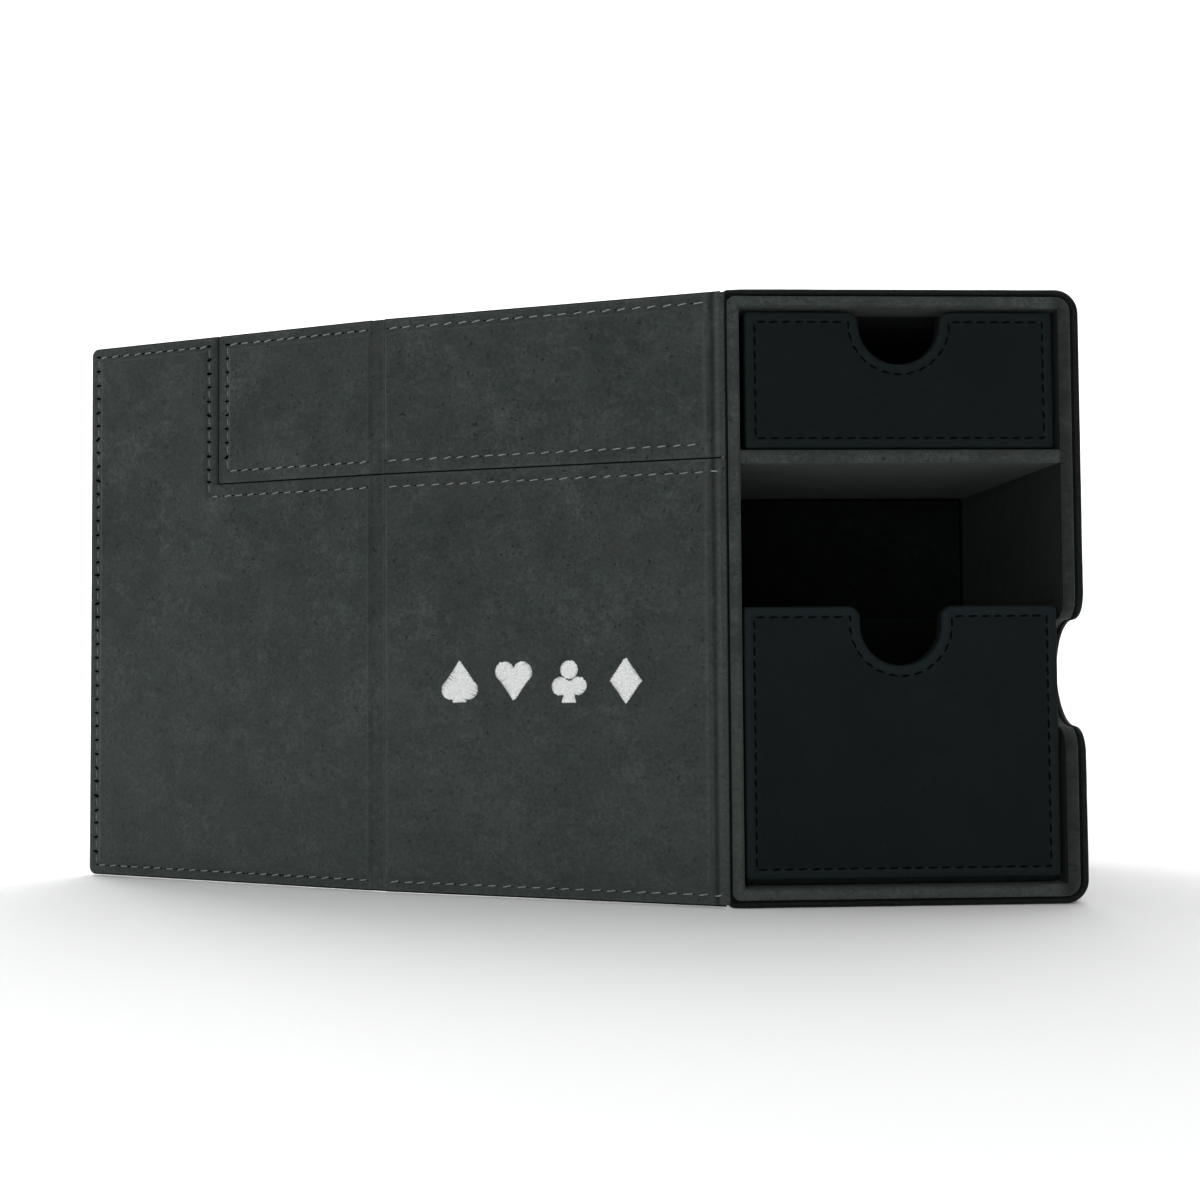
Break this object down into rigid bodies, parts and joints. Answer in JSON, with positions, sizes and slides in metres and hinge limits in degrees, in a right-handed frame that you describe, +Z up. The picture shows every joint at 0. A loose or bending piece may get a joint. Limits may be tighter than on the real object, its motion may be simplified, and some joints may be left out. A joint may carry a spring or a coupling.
{
  "type": "playing card box with drawer",
  "caption": "Upright leather-covered card box with an accessory drawer over a card tray and a wrap-round magnetic cover cut into two flaps that open separately.",
  "frame": {"origin": "centre of the case's flat base", "axes": "+Z up, +Y to the back of the case, +X to the right seen from the open front; the cover is open to the left"},
  "size_m": [0.2476, 0.088, 0.1425],
  "materials": {
    "cover_leather": "satin grained",
    "front_leather": "satin smooth",
    "suede": "matt napped",
    "greyboard": "matt",
    "magnet": "satin",
    "black_thread": "satin",
    "grey_thread": "satin",
    "white_thread": "satin"
  },
  "bodies": {
    "case": {"left_board": "greyboard", "right_board": "greyboard", "top_board": "greyboard", "bottom_board": "greyboard", "back_board": "greyboard", "divider_board": "greyboard", "rim_facing": "suede", "upper_bay_lining": "suede", "lower_bay_lining": "suede", "outer_cover": "cover_leather", "back_cover": "cover_leather", "case_magnets": "magnet"},
    "accessory_drawer": {"drawer_front_board": "greyboard", "drawer_front_cover": "front_leather", "drawer_left_wall": "front_leather", "drawer_right_wall": "front_leather", "drawer_back_wall": "front_leather", "drawer_floor": "front_leather", "drawer_lining": "suede", "drawer_front_stitching": "black_thread"},
    "card_tray": {"tray_front_board": "greyboard", "tray_front_cover": "front_leather", "tray_left_wall": "front_leather", "tray_right_wall": "front_leather", "tray_back_wall": "front_leather", "tray_floor": "front_leather", "tray_lining": "suede", "tray_front_stitching": "black_thread"},
    "main_flap_front": {"main_flap_hinge_strip": "cover_leather", "main_flap_front_board": "greyboard", "main_flap_front_cover": "cover_leather", "main_flap_front_lining": "suede", "main_flap_front_stitching": "grey_thread", "suit_embroidery": "white_thread", "main_flap_crease_strip": "cover_leather"},
    "main_flap_side": {"main_flap_side_board": "greyboard", "main_flap_side_cover": "cover_leather", "main_flap_side_lining": "suede", "main_flap_side_stitching": "grey_thread", "main_flap_magnets": "magnet"},
    "drawer_flap_front": {"drawer_flap_hinge_strip": "cover_leather", "drawer_flap_front_board": "greyboard", "drawer_flap_front_cover": "cover_leather", "drawer_flap_front_lining": "suede", "drawer_flap_front_stitching": "grey_thread", "drawer_flap_crease_strip": "cover_leather"},
    "drawer_flap_side": {"drawer_flap_side_board": "greyboard", "drawer_flap_side_cover": "cover_leather", "drawer_flap_side_lining": "suede", "drawer_flap_side_stitching": "grey_thread", "drawer_flap_magnets": "magnet"}
  },
  "joints": [
    {"name": "drawer_slide", "type": "slide", "parent": "case", "child": "accessory_drawer", "axis": [0, -1, 0], "range_m": [0, 0.075]},
    {"name": "tray_slide", "type": "slide", "parent": "case", "child": "card_tray", "axis": [0, -1, 0], "range_m": [0, 0.075]},
    {"name": "main_flap_hinge", "type": "hinge", "parent": "case", "child": "main_flap_front", "pos_m": [-0.0419, -0.04415, 0], "axis": [0, 0, -1], "range_deg": [-200, 25], "deforming": ["main_flap_hinge_strip"]},
    {"name": "main_flap_fold", "type": "hinge", "parent": "main_flap_front", "child": "main_flap_side", "pos_m": [-0.12273, -0.01186, 0], "axis": [0, 0, -1], "range_deg": [-94.5, 40], "deforming": ["main_flap_crease_strip"]},
    {"name": "drawer_flap_hinge", "type": "hinge", "parent": "case", "child": "drawer_flap_front", "pos_m": [-0.0419, -0.04415, 0], "axis": [0, 0, -1], "range_deg": [-200, 25], "deforming": ["drawer_flap_hinge_strip"]},
    {"name": "drawer_flap_fold", "type": "hinge", "parent": "drawer_flap_front", "child": "drawer_flap_side", "pos_m": [-0.12273, -0.01186, 0], "axis": [0, 0, -1], "range_deg": [-94.5, 40], "deforming": ["drawer_flap_crease_strip"]}
  ]
}
